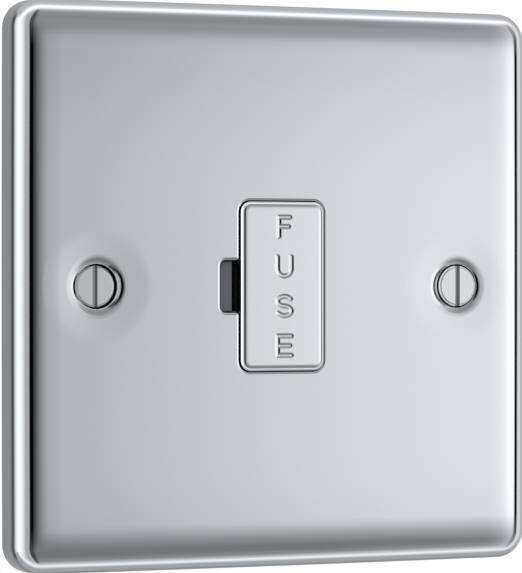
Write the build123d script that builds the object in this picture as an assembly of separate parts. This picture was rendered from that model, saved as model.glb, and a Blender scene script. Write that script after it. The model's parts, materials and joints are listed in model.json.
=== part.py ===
import os
from build123d import *

# Sizes in millimetres. X is to the right, Z is up, and the front faces -Y.
# A level is a distance in front of the wall, so what lies behind the wall has a negative level.

# Front plate, pressed from sheet
plate_size = 86.0  # side of the square plate at the wall
plate_depth = 6.6  # level of the middle of the front face
plate_wall = 1.0  # thickness of the sheet
plate_corner = 4.4  # corner radius seen from the front
plate_roll = 3.0  # radius of the rolled edge
plate_turn = 1.5  # bevel of the hollow behind the rolled edge
plate_crown = 0.5  # drop of the face at the middle of each side
crown_reach = 7.2  # width of the border that drops

# Fixing screws and their dished holes
fixing_centres = 60.3
fixing_shank = 3.5  # over the thread
fixing_neck = 3.0  # plain neck below the head
neck_length = 3.4  # from the rim of the head to the thread
fixing_length = 25.0  # below the rim of the head
fixing_play = 0.35  # around the shank in its hole
head_rim = 6.5  # largest diameter of the screw head
head_edge = 0.15  # upright edge of the head above its rim
head_rise = 0.3  # from that edge up to the flat of the head
head_bevel = 0.45  # width of the bevel around the flat
head_gap = 0.05  # between the head's cone and its seat
fixing_slot = 0.8
fixing_slot_depth = 0.6
right_back_off = 1.1  # the right-hand screw stands this far out of its seat
seat_gap = 0.1  # around the rim of the head at the mouth of its seat
seat_drop = 1.35  # from the face of the plate to the mouth of the seat
dish_lean = 0.25  # the steep wall above the seat widens by this much
dimple_width = 1.0  # shallow border around the dish
dimple_depth = 0.12

# Cartridge fuse, upright in the carrier
fuse_length = 25.4
fuse_diameter = 6.35
fuse_cap_length = 6.0
fuse_cap_wall = 0.4
barrel_bore = 4.0
element_diameter = 0.6
fuse_gap = 0.1  # between the fuse and its seat

# Aperture for the fuse carrier, with the lever notch at its left
mouth_width = 14.2
mouth_room = 0.4  # above and below the fuse
mouth_corner = 1.8
notch_width = 3.1
notch_height = 8.1
notch_corner = 1.0
notch_turn = 0.4  # radius where the notch runs into the aperture

# Fuse carrier
cap_gap = 0.2  # between the cap and the aperture
cap_proud = 0.7  # the cap stands this far in front of the plate
cap_thickness = 2.0
cap_edge = 0.45  # bevel around the face of the cap
cap_peg = 2.0
peg_gap = 0.05
drawer_gap = 0.3  # between the drawer and its channel
drawer_wall = 1.2
spine_gap = 0.5  # between the spine and each cap of the fuse
carrier_travel = 10.0
barb_width = 3.2
barb_length = 1.3
barb_reach = 0.8
barb_nose = 0.4
barb_gap = 0.1

# Base moulding behind the plate
base_corner = 3.0
base_wall = 1.8
base_gap = 0.15  # between the base and the plate
channel_wall = 1.6
rear_room = 1.2  # behind the drawer at rest
pit_width = 0.75  # slot for the lever, beside the cap
pit_depth = 2.85
stop_wall = 1.0  # between the pit and the groove of the barb
pad_gap = 0.2  # between the pad and the edge of the notch
pad_drop = 0.75  # the pad lies this far behind the face of the plate
pad_edge = 0.25

# Terminals and their screws
terminal_side = 8.0
terminal_depth = 9.0
terminal_room = 2.0  # from the terminals to the back of the base
terminal_edge = 0.4
terminal_recess = 3.0  # from the terminals to the outside of the base
wire_bore = 4.6
wire_depth = 7.0
wire_cover = 1.1  # brass in front of the bore
well_gap = 0.15
well_wall = 1.5
terminal_shank = 3.9
terminal_head = 6.6
terminal_head_height = 2.2
terminal_lift = 1.6  # shank showing below the head
tip_gap = 0.2  # from the tip of the screw to the bore
thread_gap = 0.05  # around every shank in its tapped hole
rear_slot = 0.9  # slot of the screws seen from behind
slot_share = 0.55  # of the height of the head

# Strips
clip_gap = 0.08  # between the clip and the fuse
clip_strip = 0.5
clip_width = 5.0
clip_lip = 1.2  # flare of the lips of the clip
clip_bend = 0.9
tab_length = 5.0
strip_gap = 0.2  # around a strip in its slot
strap_thickness = 0.8
strap_width = 5.0

# Pillars of the plate and their screws
pillar_diameter = 5.0
pillar_gap = 0.1
pillar_web = 2.0  # base held between pillar and screw head
pillar_length = 4.2
pillar_shank = 2.9
pillar_screw_length = 5.5
pillar_head = 5.2
pillar_head_height = 1.9
pillar_head_room = 0.25

# Rear cover and its screws
cover_wall = 2.0
cover_rim = 1.6
cover_step = 1.2  # height of the rim
cover_edge = 0.8
cover_play = 0.4  # around the heads of the terminal screws
cover_post = 4.0
cover_panel = 0.4  # depth of the panel between the rows of screws
cover_boss = 4.6
cover_boss_inset = 0.3
cover_shank = 2.2
cover_head = 4.0
cover_head_height = 1.2
cover_head_gap = 0.2
cover_screw_length = 7.0

# Cutting tools run past the faces that they open by this much.
overshoot = 1.0

# Sizes that follow from those above
plate_flat = plate_size / 2 - crown_reach  # half the side of the flat middle of the face
crown_radius = (crown_reach**2 + plate_crown**2) / (2 * plate_crown)
mouth_height = fuse_length + 2 * mouth_room
cap_width = mouth_width - 2 * cap_gap
cap_height = mouth_height - 2 * cap_gap
cap_corner = mouth_corner - cap_gap
drawer_width = mouth_width - 2 * drawer_gap
drawer_height = mouth_height - 2 * drawer_gap
barrel_diameter = fuse_diameter - 2 * fuse_cap_wall
spine_height = fuse_length - 2 * fuse_cap_length - 2 * spine_gap
peg_height = fuse_length / 3
clip_centre = (fuse_length - fuse_cap_length) / 2
fixing_hole = fixing_shank + 2 * fixing_play
seat_radius = head_rim / 2 + seat_gap
dish_radius = seat_radius + dish_lean
dish_depth = seat_drop + seat_radius - fixing_hole / 2  # down to the hole
fixing_places = (-fixing_centres / 2, fixing_centres / 2)
well_width = terminal_side + 2 * well_gap
pillar_room = pillar_head + 2 * pillar_head_room
terminal_pitch = well_width + 2 * well_wall + pillar_room
terminal_row = mouth_height / 2 + channel_wall + 2 * well_gap + terminal_side / 2
terminal_inner = terminal_row - terminal_side / 2
terminal_places = (-terminal_pitch, 0.0, terminal_pitch)
pillar_offset = terminal_pitch / 2
base_width = 2 * terminal_pitch + terminal_side + 2 * terminal_recess
base_height = 2 * terminal_row + terminal_side + 2 * terminal_recess
cover_screw_offset = base_width / 2 - cover_boss_inset - cover_boss / 2
tail_width = 2 * (cover_screw_offset - cover_boss / 2 - well_gap - terminal_pitch)
notch_left = mouth_width / 2 + notch_width

# Levels that follow
plate_inside = plate_depth - plate_wall
base_front = plate_inside - base_gap
base_floor = base_front - base_wall
cap_front = plate_depth + cap_proud
cap_back = cap_front - cap_thickness
drawer_inside = cap_back - drawer_wall
fuse_axis = drawer_inside - fuse_gap - fuse_diameter / 2
clip_inside = fuse_axis - fuse_diameter / 2 - clip_gap
clip_back = clip_inside - clip_strip
pit_floor = base_front - pit_depth
groove_end = pit_floor - stop_wall
barb_front = groove_end - barb_gap - carrier_travel
drawer_back = barb_front - barb_length
base_back = drawer_back - rear_room
cover_inside = base_back - cover_step
cover_back = cover_inside - cover_wall
terminal_back = base_back + terminal_room
terminal_front = terminal_back + terminal_depth
wire_axis = terminal_front - wire_cover - wire_bore / 2
pillar_end = plate_inside - pillar_length
strap_seat = pillar_end - pillar_web
screw_seat = strap_seat - strap_thickness


def level(distance):
    return Plane.XZ.offset(distance)


def slab(outline, low, high):
    return extrude(level(low) * outline, amount=high - low)


def block(width, height, low, high, x=0.0, z=0.0, corner=0.0):
    outline = Rectangle(width, height)
    if corner > 0:
        outline = RectangleRounded(width, height, corner)
    return slab(Pos(x, z) * outline, low, high)


def rod(diameter, low, high, x=0.0, z=0.0):
    return slab(Pos(x, z) * Circle(diameter / 2), low, high)


def upright(diameter, low, high, x, distance):
    return Pos(x, -distance, (low + high) / 2) * Cylinder(diameter / 2, high - low)


# A turned piece: each point is a radius and a height, and heights run out to the room from a level.
def turned(points, start, x=0.0, z=0.0):
    profile = make_face(Plane.XZ * Polyline(*points, close=True))
    return level(start) * Pos(x, z) * revolve(profile, Axis.Z)


def middle(shape):
    return shape.bounding_box().center()


# The lower row repeats the upper one.
def lower(shape):
    return mirror(shape, about=Plane.XY)


def plate_outline(inset):
    side = plate_size - 2 * inset
    return RectangleRounded(side, side, plate_corner - inset)


# Flat in the middle, and rolled off around it by a ball of the crown's radius.
def crowned_block():
    side = 2 * (plate_flat + crown_radius)
    big = block(side, side, plate_depth - 2 * crown_radius, plate_depth)
    front = big.faces().sort_by(Axis.Y)[0]
    return fillet(front.edges() + big.edges().filter_by(Axis.Y), crown_radius)


# The outline raised to the crowned face, with the front edge rolled over.
def pressed_form():
    form = slab(plate_outline(0), 0, plate_depth) & crowned_block()
    border = plate_size / 2 - plate_corner
    front = form.edges().filter_by(lambda edge: middle(edge).Y < -plate_depth / 2)
    rim = front.filter_by(lambda edge: max(abs(middle(edge).X), abs(middle(edge).Z)) > border)
    return fillet(rim, plate_roll)


def plate_hollow():
    hollow = slab(plate_outline(plate_wall), 0, plate_inside)
    return chamfer(hollow.faces().sort_by(Axis.Y)[0].edges(), plate_turn)


def mouth_outline():
    left = -mouth_width / 2
    notch = RectangleRounded(notch_width + 2 * notch_corner, notch_height, notch_corner)
    mouth = RectangleRounded(mouth_width, mouth_height, mouth_corner)
    mouth += Pos(notch_corner - notch_width / 2 + left, 0) * notch
    turns = mouth.vertices().filter_by(lambda v: abs(v.X - left) < 0.01 and abs(v.Y) < notch_height)
    return fillet(turns, notch_turn)


# A shallow dimple, a steep wall and a right-angled seat down to the hole.
def dish(x):
    mouth = dish_radius + dimple_width
    points = [
        (0, -dish_depth),
        (fixing_hole / 2, -dish_depth),
        (seat_radius, -seat_drop),
        (dish_radius, -dimple_depth),
        (mouth, 0),
        (mouth, overshoot),
        (0, overshoot),
    ]
    return turned(points, plate_depth, x)


# The back of the sheet follows the seat at the thickness of the wall.
def dish_back(x):
    step = plate_wall / 2**0.5
    deep = dish_depth + step
    foot = fixing_hole / 2 + step
    points = [(0, -deep), (foot, -deep), (foot + deep + overshoot, overshoot), (0, overshoot)]
    return turned(points, plate_depth, x)


def front_plate():
    pressing = pressed_form()
    hollow = plate_hollow()
    for x in fixing_places:
        pressing -= dish(x)
        hollow -= dish_back(x)
    pressing -= slab(mouth_outline(), 0, 2 * plate_depth)
    shell = pressing - hollow
    for x in fixing_places:
        shell -= rod(fixing_hole, 0, plate_depth, x)
    for x in (-pillar_offset, pillar_offset):
        for z in (-terminal_row, terminal_row):
            shell += rod(pillar_diameter, pillar_end, plate_inside + plate_wall / 2, x, z)
            tap = pillar_shank + 2 * thread_gap
            shell -= rod(tap, pillar_end, plate_inside - plate_wall / 2, x, z)
    return shell


def fixing_screw(x, back_off):
    rim = head_rim / 2
    neck = fixing_neck / 2
    shank = fixing_shank / 2
    top = head_edge + head_rise
    rim_level = plate_depth - seat_drop - seat_gap + head_gap + back_off
    points = [
        (0, top),
        (rim - head_bevel, top),
        (rim, head_edge),
        (rim, 0),
        (neck, neck - rim),
        (neck, -neck_length),
        (shank, -neck_length),
        (shank, -fixing_length),
        (0, -fixing_length),
    ]
    flat = rim_level + top
    slot = block(fixing_slot, head_rim + overshoot, flat - fixing_slot_depth, flat + overshoot, x)
    return turned(points, rim_level, x) - slot


def fixing_screws():
    left, right = fixing_places
    return Compound(children=[fixing_screw(left, 0), fixing_screw(right, right_back_off)])


# A slotted screw put in from behind: its head lies behind the seat, its shank in front.
def rear_screw(shank, length, head, height, seat, x, z):
    screw = rod(shank, seat, seat + length, x, z) + rod(head, seat - height, seat, x, z)
    floor = seat - height * (1 - slot_share)
    return screw - block(head + overshoot, rear_slot, seat - height, floor, x, z)


def carrier_cap():
    cap = block(cap_width, cap_height, cap_back, cap_front, corner=cap_corner)
    cap = chamfer(cap.faces().sort_by(Axis.Y)[0].edges(), cap_edge)
    for z in (-peg_height, peg_height):
        cap += rod(cap_peg, drawer_inside, cap_back, 0, z)
    return cap


# Stop barb at the back of the drawer, with a square front and a sloping back.
def barb(turn):
    side = drawer_width / 2
    root = side - drawer_wall / 2
    tip = side + barb_reach
    points = [
        (turn * root, -barb_front),
        (turn * tip, -barb_front),
        (turn * tip, barb_nose - barb_front),
        (turn * side, -drawer_back),
        (turn * root, -drawer_back),
    ]
    return extrude(make_face(Polyline(*points, close=True)), amount=barb_width / 2, both=True)


# A front wall, a side wall at the right, and a spine that seats the fuse; the seat is open at the left.
def carrier_drawer():
    side = drawer_width / 2
    seat = barrel_diameter / 2 + fuse_gap
    drawer = block(drawer_width, drawer_height, drawer_inside, cap_back, corner=cap_corner)
    wall_end = clip_inside + strip_gap
    wall_height = drawer_height - 2 * cap_corner
    drawer += block(drawer_wall, wall_height, wall_end, drawer_inside, side - drawer_wall / 2)
    drawer += block(drawer_width, spine_height, drawer_back, drawer_inside)
    for z in (-peg_height, peg_height):
        drawer -= rod(cap_peg + 2 * peg_gap, drawer_inside, cap_back, 0, z)
    drawer -= block(side, spine_height, fuse_axis - seat, fuse_axis + seat, -side / 2)
    drawer -= upright(2 * seat, -spine_height / 2, spine_height / 2, 0, fuse_axis)
    hollow = fuse_axis - seat - drawer_wall
    drawer -= block(drawer_width - 2 * drawer_wall, spine_height - 2 * drawer_wall, drawer_back, hollow)
    return drawer + barb(-1) + barb(1)


def fuse_barrel():
    half = fuse_length / 2 - fuse_cap_wall
    tube = upright(barrel_diameter, -half, half, 0, fuse_axis)
    return tube - upright(barrel_bore, -half, half, 0, fuse_axis)


def fuse_cap_upper():
    end = fuse_length / 2
    start = end - fuse_cap_length
    cap = upright(fuse_diameter, start, end, 0, fuse_axis)
    return cap - upright(barrel_diameter, start, end - fuse_cap_wall, 0, fuse_axis)


def fuse_element():
    half = fuse_length / 2 - fuse_cap_wall
    return upright(element_diameter, -half, half, 0, fuse_axis)


# Tab bent back against the inner end of a terminal.
def tail_tab(x, turn):
    place = turn * (terminal_inner - clip_strip / 2)
    return block(tail_width, clip_strip, clip_back - tab_length, clip_inside, x, place)


def supply_fuse_clip():
    arm = fuse_diameter / 2 + clip_gap + clip_strip / 2
    low = clip_inside - clip_strip / 2
    throat = fuse_axis + fuse_diameter / 4
    lip = throat + clip_lip
    path = FilletPolyline(
        (-arm - clip_lip, lip),
        (-arm, throat),
        (-arm, low),
        (arm, low),
        (arm, throat),
        (arm + clip_lip, lip),
        radius=clip_bend,
    )
    across = Plane((0, 0, clip_centre), x_dir=(1, 0, 0), z_dir=(0, 0, -1))
    clip = extrude(across * trace(path, clip_strip), amount=clip_width / 2, both=True)
    reach = terminal_pitch + tail_width / 2
    clip += block(reach, clip_width, clip_back, clip_inside, reach / 2, clip_centre)
    run = terminal_inner - clip_centre
    clip += block(tail_width, run, clip_back, clip_inside, terminal_pitch, clip_centre + run / 2)
    return clip + tail_tab(terminal_pitch, 1)


def neutral_link():
    link = block(tail_width, 2 * terminal_inner, clip_back, clip_inside, -terminal_pitch)
    return link + tail_tab(-terminal_pitch, 1) + tail_tab(-terminal_pitch, -1)


def upper_terminal(x):
    brass = block(terminal_side, terminal_side, terminal_back, terminal_front, x, terminal_row)
    brass = chamfer(brass.edges(), terminal_edge)
    mouth = terminal_row + terminal_side / 2
    brass -= upright(wire_bore, mouth - wire_depth, mouth, x, wire_axis)
    return brass - rod(terminal_shank + 2 * thread_gap, terminal_back, wire_axis, x, terminal_row)


def terminal_screws():
    seat = terminal_back - terminal_lift
    length = wire_axis - wire_bore / 2 - tip_gap - seat
    screws = []
    for x in terminal_places:
        for z in (-terminal_row, terminal_row):
            screw = rear_screw(terminal_shank, length, terminal_head, terminal_head_height, seat, x, z)
            screws.append(screw)
    return Compound(children=screws)


def earth_strap_upper():
    start = terminal_side / 2
    end = pillar_offset + pillar_head / 2
    strap = block(end - start, strap_width, screw_seat, strap_seat, (start + end) / 2, terminal_row)
    place = start + strap_thickness / 2
    strap += block(strap_thickness, strap_width, screw_seat - tab_length, strap_seat, place, terminal_row)
    hole = pillar_shank + 2 * thread_gap
    return strap - rod(hole, screw_seat, strap_seat, pillar_offset, terminal_row)


def pillar_screws():
    screws = []
    for x in (-pillar_offset, pillar_offset):
        for z in (-terminal_row, terminal_row):
            screw = rear_screw(
                pillar_shank, pillar_screw_length, pillar_head, pillar_head_height, screw_seat, x, z
            )
            screws.append(screw)
    return Compound(children=screws)


# Inner end of the wells, which leaves room for the tabs.
def well_end():
    return terminal_inner - clip_strip - well_gap


def well_walls(x, turn):
    tall = base_height / 2 - well_end() + well_wall
    return block(well_width + 2 * well_wall, tall, base_back, base_front, x, turn * (base_height - tall) / 2)


# The room for a terminal is open at the outer edge of the base and at the back.
def well_room(x, turn):
    tall = base_height / 2 - well_end() + overshoot
    return block(well_width, tall, base_back, terminal_front, x, turn * (well_end() + tall / 2))


# Everything of the base that is filled, before its channel and wells are cut.
def base_walls():
    base = block(base_width, base_height, base_back, base_front, corner=base_corner)
    base -= block(base_width - 2 * base_wall, base_height - 2 * base_wall, base_back, base_floor)
    base += block(mouth_width + 2 * channel_wall, mouth_height + 2 * channel_wall, base_back, base_front)
    shelf = (base_height - mouth_height) / 2
    for turn in (-1, 1):
        for x in terminal_places:
            base += well_walls(x, turn)
        place = turn * (base_height - shelf) / 2
        base += block(pillar_room + well_wall, shelf, strap_seat, base_front, pillar_offset, place)
        base += block(pillar_room + well_wall, shelf, screw_seat, base_front, -pillar_offset, place)
    reach = terminal_pitch + tail_width / 2 + strip_gap
    base += block(reach, 2 * clip_centre + clip_width, clip_inside, base_front, reach / 2)
    base += block(tail_width + 2 * strip_gap, 2 * terminal_inner, clip_inside, base_front, -terminal_pitch)
    for x in (-cover_screw_offset, cover_screw_offset):
        base += rod(cover_boss, base_back, base_front, x)
    pad_width = notch_width - pit_width - pad_gap
    pad_place = pad_gap + pad_width / 2 - notch_left
    pad = block(pad_width, notch_height - 2 * pad_gap, base_floor, plate_depth - pad_drop, pad_place)
    return base + fillet(pad.faces().sort_by(Axis.Y)[0].edges(), pad_edge)


def base_moulding():
    base = base_walls()
    for turn in (-1, 1):
        for x in terminal_places:
            base -= well_room(x, turn)
        slot = clip_width + 2 * strip_gap
        place = mouth_width / 2 + channel_wall
        base -= block(2 * channel_wall, slot, base_back, clip_inside, place, turn * clip_centre)
        run = terminal_inner - clip_centre
        for x in (-terminal_pitch, terminal_pitch):
            place = turn * (terminal_inner - run / 2)
            base -= block(tail_width + 2 * strip_gap, run, base_back, clip_inside, x, place)
        start = terminal_side / 2
        place = (pillar_offset + start) / 2
        gap = strap_width + 2 * strip_gap
        base -= block(pillar_offset - start, gap, base_back, strap_seat, place, turn * terminal_row)
        for x in (-pillar_offset, pillar_offset):
            z = turn * terminal_row
            base -= rod(pillar_diameter + 2 * pillar_gap, pillar_end, base_front, x, z)
            base -= rod(pillar_shank + 2 * pillar_gap, base_back, base_front, x, z)
    base -= block(mouth_width, mouth_height, base_back, base_front)
    base -= block(2 * pit_width, notch_height - 2 * pad_gap, pit_floor, plate_depth, -mouth_width / 2)
    groove = 2 * (drawer_width / 2 + barb_reach + barb_gap)
    base -= block(groove, barb_width + 2 * barb_gap, base_back, groove_end)
    for x in (-cover_screw_offset, cover_screw_offset):
        base -= rod(cover_shank + 2 * thread_gap, base_back, base_back + cover_screw_length, x)
    return base


def rear_cover():
    cover = block(base_width, base_height, cover_back, base_back, corner=base_corner)
    cover = chamfer(cover.faces().sort_by(Axis.Y)[-1].edges(), cover_edge)
    cover -= block(base_width - 2 * cover_rim, base_height - 2 * cover_rim, cover_inside, base_back)
    panel = 2 * (terminal_inner - cover_play)
    width = 2 * (cover_screw_offset - cover_boss)
    cover -= block(width, panel, cover_back, cover_back + cover_panel, corner=base_corner / 2)
    for x in terminal_places:
        for turn in (-1, 1):
            cover += block(cover_post, cover_post, cover_inside, clip_back, x, turn * clip_centre)
            hole = terminal_head + 2 * cover_play
            cover -= rod(hole, cover_back, base_back, x, turn * terminal_row)
    for x in (-cover_screw_offset, cover_screw_offset):
        cover += rod(cover_boss, cover_inside, base_back, x)
        cover -= rod(cover_shank + 4 * thread_gap, cover_back, base_back, x)
        sink = cover_back + cover_head_gap + cover_head_height
        cover -= rod(cover_head + 2 * cover_head_gap, cover_back, sink, x)
    return cover


def cover_screws():
    seat = cover_back + cover_head_gap + cover_head_height
    screws = []
    for x in (-cover_screw_offset, cover_screw_offset):
        screws.append(rear_screw(cover_shank, cover_screw_length, cover_head, cover_head_height, seat, x, 0))
    return Compound(children=screws)


os.makedirs("parts", exist_ok=True)
export_step(front_plate(), "parts/front_plate.step")
export_step(fixing_screws(), "parts/fixing_screws.step")
export_step(carrier_cap(), "parts/carrier_cap.step")
export_step(carrier_drawer(), "parts/carrier_drawer.step")
export_step(fuse_barrel(), "parts/fuse_barrel.step")
export_step(fuse_cap_upper(), "parts/fuse_cap_upper.step")
export_step(lower(fuse_cap_upper()), "parts/fuse_cap_lower.step")
export_step(fuse_element(), "parts/fuse_element.step")
export_step(supply_fuse_clip(), "parts/supply_fuse_clip.step")
export_step(lower(supply_fuse_clip()), "parts/load_fuse_clip.step")
export_step(upper_terminal(terminal_pitch), "parts/live_supply_terminal.step")
export_step(lower(upper_terminal(terminal_pitch)), "parts/live_load_terminal.step")
export_step(upper_terminal(-terminal_pitch), "parts/neutral_supply_terminal.step")
export_step(lower(upper_terminal(-terminal_pitch)), "parts/neutral_load_terminal.step")
export_step(upper_terminal(0), "parts/earth_supply_terminal.step")
export_step(lower(upper_terminal(0)), "parts/earth_load_terminal.step")
export_step(neutral_link(), "parts/neutral_link.step")
export_step(earth_strap_upper(), "parts/earth_strap_upper.step")
export_step(lower(earth_strap_upper()), "parts/earth_strap_lower.step")
export_step(terminal_screws(), "parts/terminal_screws.step")
export_step(pillar_screws(), "parts/pillar_screws.step")
export_step(base_moulding(), "parts/base_moulding.step")
export_step(rear_cover(), "parts/rear_cover.step")
export_step(cover_screws(), "parts/cover_screws.step")
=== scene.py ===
import json
import math
import bmesh
import bpy
import numpy as np
from mathutils import Matrix, Vector
from mathutils.geometry import delaunay_2d_cdt


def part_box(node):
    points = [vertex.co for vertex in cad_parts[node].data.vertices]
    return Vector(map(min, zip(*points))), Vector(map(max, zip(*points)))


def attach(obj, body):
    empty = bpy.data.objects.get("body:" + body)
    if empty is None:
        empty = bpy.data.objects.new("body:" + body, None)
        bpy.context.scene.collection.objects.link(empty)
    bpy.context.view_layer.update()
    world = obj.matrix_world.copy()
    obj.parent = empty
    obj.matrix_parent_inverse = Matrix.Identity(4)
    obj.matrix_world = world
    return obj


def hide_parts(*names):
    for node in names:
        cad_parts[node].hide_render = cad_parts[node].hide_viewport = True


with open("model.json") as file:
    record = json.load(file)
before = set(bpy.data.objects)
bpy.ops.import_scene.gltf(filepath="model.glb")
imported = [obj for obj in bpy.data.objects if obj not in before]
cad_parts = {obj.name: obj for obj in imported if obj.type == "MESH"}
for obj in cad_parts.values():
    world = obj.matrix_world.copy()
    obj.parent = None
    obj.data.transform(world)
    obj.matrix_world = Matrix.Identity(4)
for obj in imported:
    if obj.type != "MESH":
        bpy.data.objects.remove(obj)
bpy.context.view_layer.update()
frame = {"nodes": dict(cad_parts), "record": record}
nodes = frame["nodes"]
mm = 0.001
slant = math.sqrt(0.5)  # either part of a normal at 45 degrees
tiny = 1e-6  # keeps divisions off zero
touching = 1e-7  # points of a field that are closer than this are one
levelStart = (0.0, 0.0, (0.0, 1.0))  # first row of a profile that starts level
print("frame loaded:", len(nodes), "nodes")


# a node's box in millimetres, as x, level and z; a level counts outwards from the wall
def boxOf(node):
    low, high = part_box(node)
    low, high = low / mm, high / mm
    return {"x": (low.x, high.x), "level": (-high.y, -low.y), "z": (low.z, high.z)}


# points of x, level and z in millimetres, as the frame has them
def toFrame(points):
    points = np.asarray(points, float)
    return np.stack([points[:, 0], -points[:, 1], points[:, 2]], axis=1) * mm


def added(name, data):
    item = bpy.data.objects.new(name, data)
    bpy.context.scene.collection.objects.link(item)
    return item


def place(name, mesh, material):
    mesh.materials.clear()
    mesh.materials.append(material)
    return added(name, mesh)


def carry(piece, body, node):
    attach(piece, body)
    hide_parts(node)


def meshOf(shape, name):
    mesh = bpy.data.meshes.new(name)
    shape.to_mesh(mesh)
    shape.free()
    return mesh


# the solved mesh of an object's modifiers, as plain mesh data
def solved(holder, name):
    bpy.context.view_layer.update()
    mesh = bpy.data.meshes.new_from_object(holder.evaluated_get(bpy.context.evaluated_depsgraph_get()))
    mesh.name = name
    return mesh


# bevels the edges that turn by more than an angle
def breakEdges(holder, width, segments, angle):
    edge = holder.modifiers.new("edge", "BEVEL")
    edge.width = width
    edge.segments = segments
    edge.limit_method = "ANGLE"
    edge.angle_limit = math.radians(angle)
    return edge


# smooth faces, apart from the edges that turn by more than an angle
def smoothed(mesh, angle):
    mesh.polygons.foreach_set("use_smooth", [True] * len(mesh.polygons))
    mesh.set_sharp_from_angle(angle=math.radians(angle))


# painted shade: how deep each point lies in a recess, for the finish to paint it darker: 0 in the open, 1 out
# of the light
def sink(mesh, depth):
    mesh.attributes.new("paintedShade", "FLOAT", "POINT").data.foreach_set("value", np.clip(depth, 0, 1))


# nodes of a tree: each input takes a plain value or another node's output

def feed(tree, node, inputs):
    for label, value in inputs.items():
        if isinstance(value, bpy.types.NodeSocket):
            tree.links.new(value, node.inputs[label])
        else:
            node.inputs[label].default_value = value


# a new node, or one of its outputs
def made(tree, kind, inputs, out=None, **settings):
    node = tree.nodes.new(kind)
    for label, value in settings.items():
        setattr(node, label, value)
    feed(tree, node, inputs)
    return node if out is None else node.outputs[out]


def maths(tree, operation, *values):
    return made(tree, "ShaderNodeMath", dict(enumerate(values)), 0, operation=operation)


def mixShaders(tree, factor, first, second):
    return made(tree, "ShaderNodeMixShader", {0: factor, 1: first, 2: second}, "Shader")


def addSockets(tree, way, kind, *labels):
    for label in labels:
        tree.interface.new_socket(label, in_out=way, socket_type="NodeSocket" + kind)


# skins shared by the finishes: slow noise mixes two colours, fine noise is the bump

metal = {
    "scales": ("Haze Scale", "Ripple Scale"),  # of the slow and the fine noise
    "details": (5.0, 3.0),
    "roughBy": 0,  # the roughness follows the slow noise
    "metallic": 1.0,
    "bumpDepth": 0.00001,
}
moulded = {
    "scales": ("Cloud Scale", "Grain Scale"),
    "details": (4.0, 2.0),
    "roughBy": 1,  # and here the fine noise
    "metallic": 0.0,
    "bumpDepth": 0.00002,
}


def skinGroup(name, kind):
    tree = bpy.data.node_groups.new(name, "ShaderNodeTree")
    addSockets(tree, "INPUT", "Float", *kind["scales"], "Smooth", "Dull")
    addSockets(tree, "OUTPUT", "Float", "Mask", "Roughness", "Height")
    ins = tree.nodes.new("NodeGroupInput").outputs
    spot = made(tree, "ShaderNodeTexCoord", {}, "Object")
    noise = []
    for label, detail in zip(kind["scales"], kind["details"]):
        values = {"Vector": spot, "Scale": ins[label], "Detail": detail}
        noise.append(made(tree, "ShaderNodeTexNoise", values, "Fac"))
    values = {"Value": noise[kind["roughBy"]], "To Min": ins["Smooth"], "To Max": ins["Dull"]}
    rough = made(tree, "ShaderNodeMapRange", values, "Result")
    made(tree, "NodeGroupOutput", {"Mask": noise[0], "Roughness": rough, "Height": noise[1]})
    return tree


metal["skin"] = skinGroup("metalSkin", metal)
moulded["skin"] = skinGroup("mouldedSkin", moulded)


# one finish: two close colours mixed by the skin's mask, its roughness and its bump
# deep is the painted shade colour, mixed in where a piece lies in a recess
def finish(name, kind, scales, roughness, light, dark, bump, deep=None):
    material = bpy.data.materials.new(name)
    material.use_nodes = True
    tree = material.node_tree
    values = dict(zip((*kind["scales"], "Smooth", "Dull"), (*scales, *roughness)))
    skin = made(tree, "ShaderNodeGroup", values, node_tree=kind["skin"]).outputs

    def mixed(factor, low, high):
        values = {"Factor": factor, "A": low, "B": (*high, 1.0)}
        return made(tree, "ShaderNodeMix", values, "Result", data_type="RGBA")

    colour = mixed(skin["Mask"], (*dark, 1.0), light)
    # painted shade: the colour is darkened towards deep where the mesh marks a point as out of the light
    if deep:
        paintedShade = made(tree, "ShaderNodeAttribute", {}, "Fac", attribute_name="paintedShade")
        colour = mixed(paintedShade, colour, deep)
    values = {"Strength": bump, "Distance": kind["bumpDepth"], "Height": skin["Height"]}
    raised = made(tree, "ShaderNodeBump", values, "Normal")
    shader = tree.nodes["Principled BSDF"]
    shader.inputs["Metallic"].default_value = kind["metallic"]
    feed(tree, shader, {"Base Color": colour, "Roughness": skin["Roughness"], "Normal": raised})
    return material
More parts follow.
